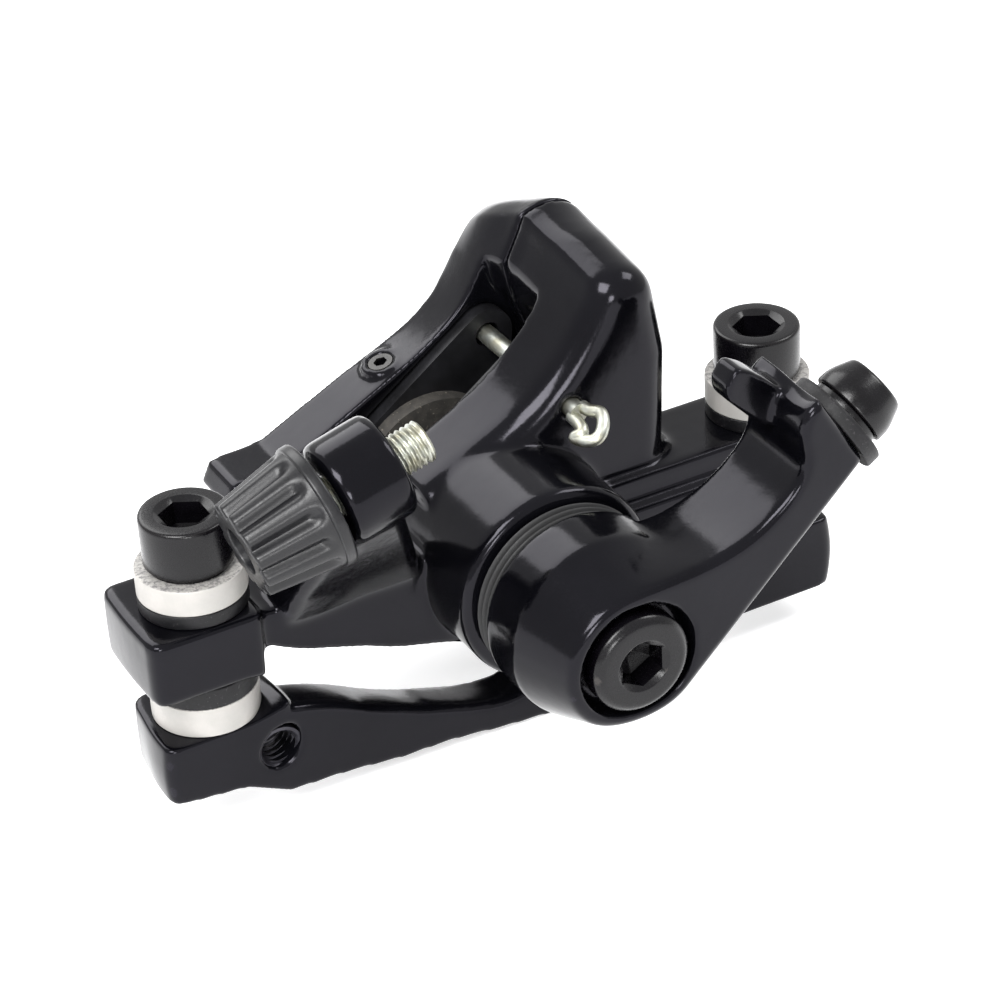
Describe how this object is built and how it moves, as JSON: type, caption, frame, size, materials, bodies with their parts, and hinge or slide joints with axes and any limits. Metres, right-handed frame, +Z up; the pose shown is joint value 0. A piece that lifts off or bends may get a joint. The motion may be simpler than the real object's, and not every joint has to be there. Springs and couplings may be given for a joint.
{
  "type": "bicycle disc brake caliper",
  "caption": "Cable-pulled disc brake caliper on a tab bracket, with a ball-ramp drive, lever arm, barrel adjuster, pads, pad screw and ball-jointed washers",
  "frame": {"origin": "Midway between the two tab holes, on the outboard face of the bracket", "axes": "+X along the line of the tab holes from the cable stop towards the lever's clamp end, +Y inboard towards the wheel along the rotor's axis, +Z up along the mounting bolts"},
  "size_m": [0.0904, 0.0619, 0.0565],
  "materials": {
    "gloss_black_coat": "satin gloss",
    "black_oxide_steel": "satin",
    "pale_cast_washer": "grainy",
    "dark_cup_steel": "grainy",
    "zinc_steel": "bright zinc",
    "hard_steel": "ground",
    "spring_steel": "satin",
    "bronze_bush": "satin",
    "magnet": "plated",
    "black_rubber": "matte",
    "cage_plastic": "matte",
    "black_moulded_plastic": "fine texture",
    "pad_backing": "stamped",
    "friction_lining": "rough"
  },
  "bodies": {
    "bracket": {"adapter_bracket": "gloss_black_coat", "mount_bolts": "black_oxide_steel", "head_washers": "black_oxide_steel", "upper_white_washers": "pale_cast_washer", "lower_white_washers": "pale_cast_washer", "upper_cup_washers": "dark_cup_steel", "lower_cup_washers": "dark_cup_steel"},
    "caliper": {"outer_body": "gloss_black_coat", "inner_body": "gloss_black_coat", "body_screws": "black_oxide_steel", "split_pin": "zinc_steel", "cam_bush": "bronze_bush", "thrust_washer": "hard_steel", "dust_boot": "black_rubber", "lock_screw": "black_oxide_steel"},
    "lever": {"actuator_arm": "gloss_black_coat", "drive_cam": "hard_steel", "arm_bolt": "black_oxide_steel", "return_spring": "spring_steel", "clamp_washer": "dark_cup_steel", "lock_washer": "black_oxide_steel", "clamp_bolt": "black_oxide_steel"},
    "cage": {"ball_cage": "cage_plastic"},
    "balls": {"ramp_balls": "hard_steel"},
    "piston": {"piston": "hard_steel", "pad_magnet": "magnet", "outer_pad_plate": "pad_backing", "outer_pad_lining": "friction_lining"},
    "inner_pad": {"inner_pad_plate": "pad_backing", "inner_pad_lining": "friction_lining"},
    "pad_screw": {"pad_screw": "gloss_black_coat"},
    "stud": {"adjuster_stud": "zinc_steel"},
    "knob": {"adjuster_knob": "black_moulded_plastic"}
  },
  "joints": [
    {"name": "caliper_shift", "type": "slide", "parent": "bracket", "child": "caliper", "axis": [0, 1, 0], "range_m": [-0.0014, 0.0014]},
    {"name": "lever_turn", "type": "hinge", "parent": "caliper", "child": "lever", "pos_m": [0.0064, 0, 0.0157], "axis": [0, -1, 0], "range_deg": [0, 36], "stiffness_Nm_per_rad": 0.12, "springref_deg": -34.38},
    {"name": "cage_turn", "type": "hinge", "parent": "caliper", "child": "cage", "pos_m": [0.0064, 0, 0.0157], "axis": [0, -1, 0], "range_deg": [0, 18]},
    {"name": "ball_climb", "type": "slide", "parent": "cage", "child": "balls", "axis": [0, 1, 0], "range_m": [0, 0.0008]},
    {"name": "piston_push", "type": "slide", "parent": "caliper", "child": "piston", "axis": [0, 1, 0], "range_m": [0, 0.0016]},
    {"name": "inner_pad_push", "type": "slide", "parent": "caliper", "child": "inner_pad", "axis": [0, -1, 0], "range_m": [0, 0.002]},
    {"name": "pad_screw_turn", "type": "hinge", "parent": "inner_pad", "child": "pad_screw", "pos_m": [0.0064, 0, 0.0157], "axis": [0, -1, 0], "range_deg": [0, 720]},
    {"name": "stud_slide", "type": "slide", "parent": "caliper", "child": "stud", "axis": [-0.9636, 0, -0.2672], "range_m": [0, 0.004]},
    {"name": "knob_turn", "type": "hinge", "parent": "stud", "child": "knob", "pos_m": [-0.0161, -0.0068, 0.0367], "axis": [-0.9636, 0, -0.2672], "range_deg": [0, 1800]}
  ],
  "couplings": [
    {"joint": "cage_turn", "follows": "lever_turn", "ratio": 0.5},
    {"joint": "ball_climb", "follows": "lever_turn", "m_per_rad": 0.0012732},
    {"joint": "piston_push", "follows": "lever_turn", "m_per_rad": 0.0025465},
    {"joint": "pad_screw_turn", "follows": "inner_pad_push", "rad_per_m": 6283.2},
    {"joint": "knob_turn", "follows": "stud_slide", "rad_per_m": 7854}
  ]
}
